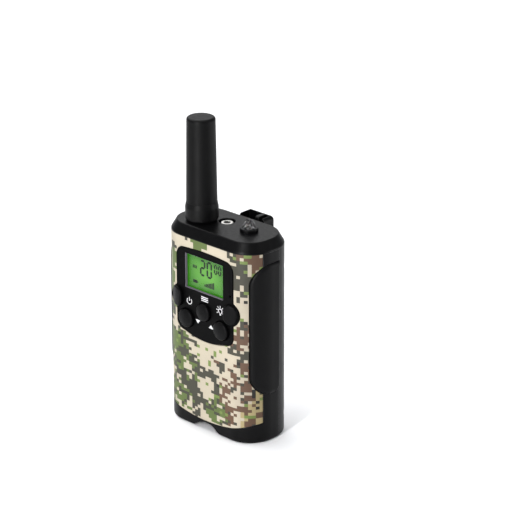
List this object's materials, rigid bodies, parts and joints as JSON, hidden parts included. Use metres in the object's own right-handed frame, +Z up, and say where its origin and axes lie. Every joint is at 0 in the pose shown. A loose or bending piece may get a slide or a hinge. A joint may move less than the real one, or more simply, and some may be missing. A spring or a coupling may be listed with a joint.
{
  "type": "toy walkie talkie",
  "caption": "Handheld toy two-way radio with a stub aerial, camouflage front, green display, rubber keys, torch, talk key and sprung belt clip.",
  "frame": {"origin": "on the flat base, halfway between the left and right sides", "axes": "+Z up along the aerial, keys and display face -Y, +X to the right of someone facing the keys"},
  "size_m": [0.0646, 0.0424, 0.157],
  "materials": {
    "shell_black": "satin moulded plastic with a fine grain",
    "camo_print": "printed camouflage skin, satin",
    "panel_black": "satin",
    "key_black": "matte",
    "grip_rubber": "soft matte",
    "aerial_black": "satin",
    "clear_lens": "clear moulded plastic",
    "torch_clear": "clear epoxy",
    "torch_rim": "satin",
    "display_green": "backlit display",
    "light_guide": "clear light guide",
    "silicone_grey": "matte silicone",
    "board_green": "solder mask",
    "tin_plate": "tinned",
    "part_black": "moulded",
    "part_metal": "satin can",
    "socket_nickel": "nickel plate",
    "winding_copper": "enamelled copper",
    "cell_wrap": "printed sleeve",
    "screw_steel": "black zinc",
    "clip_black": "satin",
    "pin_steel": "bright steel"
  },
  "bodies": {
    "root": {"front_housing": "shell_black", "rear_housing": "shell_black", "top_cap": "shell_black", "camo_faceplate": "camo_print", "control_panel": "panel_black", "side_grip_right": "grip_rubber", "side_grip_left": "grip_rubber", "antenna_sleeve": "aerial_black", "antenna_collar": "aerial_black", "lcd_window": "clear_lens", "torch_led": "torch_clear", "torch_collar": "torch_rim", "lcd_module": "display_green", "lcd_backlight": "light_guide", "keypad_membrane": "silicone_grey", "main_board": "board_green", "shield_can": "tin_plate", "contact_plates": "tin_plate", "contact_springs": "tin_plate", "earphone_jack": "part_black", "ptt_switch": "part_black", "speaker": "part_black", "microphone": "part_metal", "jack_ring": "socket_nickel", "antenna_coil": "winding_copper", "battery_left": "cell_wrap", "battery_middle": "cell_wrap", "battery_right": "cell_wrap", "housing_screws": "screw_steel", "bracket_screws": "screw_steel", "belt_clip_bracket": "clip_black", "clip_pin": "pin_steel", "clip_spring": "pin_steel"},
    "power_key": {"power_button": "key_black"},
    "menu_key": {"menu_button": "key_black"},
    "torch_key": {"torch_button": "key_black"},
    "down_key": {"down_button": "key_black"},
    "up_key": {"up_button": "key_black"},
    "talk_key": {"ptt_button": "key_black"},
    "clip_lever": {"belt_clip": "clip_black"},
    "door": {"battery_door": "shell_black"}
  },
  "joints": [
    {"name": "power_press", "type": "slide", "parent": "root", "child": "power_key", "axis": [0, 1, 0], "range_m": [0, 0.0008], "stiffness_N_per_m": 1500},
    {"name": "menu_press", "type": "slide", "parent": "root", "child": "menu_key", "axis": [0, 1, 0], "range_m": [0, 0.0008], "stiffness_N_per_m": 1500},
    {"name": "torch_press", "type": "slide", "parent": "root", "child": "torch_key", "axis": [0, 1, 0], "range_m": [0, 0.0008], "stiffness_N_per_m": 1500},
    {"name": "down_press", "type": "slide", "parent": "root", "child": "down_key", "axis": [0, 1, 0], "range_m": [0, 0.0008], "stiffness_N_per_m": 1500},
    {"name": "up_press", "type": "slide", "parent": "root", "child": "up_key", "axis": [0, 1, 0], "range_m": [0, 0.0008], "stiffness_N_per_m": 1500},
    {"name": "talk_press", "type": "slide", "parent": "root", "child": "talk_key", "axis": [1, 0, 0], "range_m": [0, 0.001], "stiffness_N_per_m": 1500},
    {"name": "clip_open", "type": "hinge", "parent": "root", "child": "clip_lever", "pos_m": [0, 0.0177, 0.097], "axis": [1, 0, 0], "range_deg": [0, 12], "stiffness_Nm_per_rad": 0.3},
    {"name": "door_slide", "type": "slide", "parent": "root", "child": "door", "axis": [0, 0, -1], "range_m": [0, 0.006]}
  ]
}
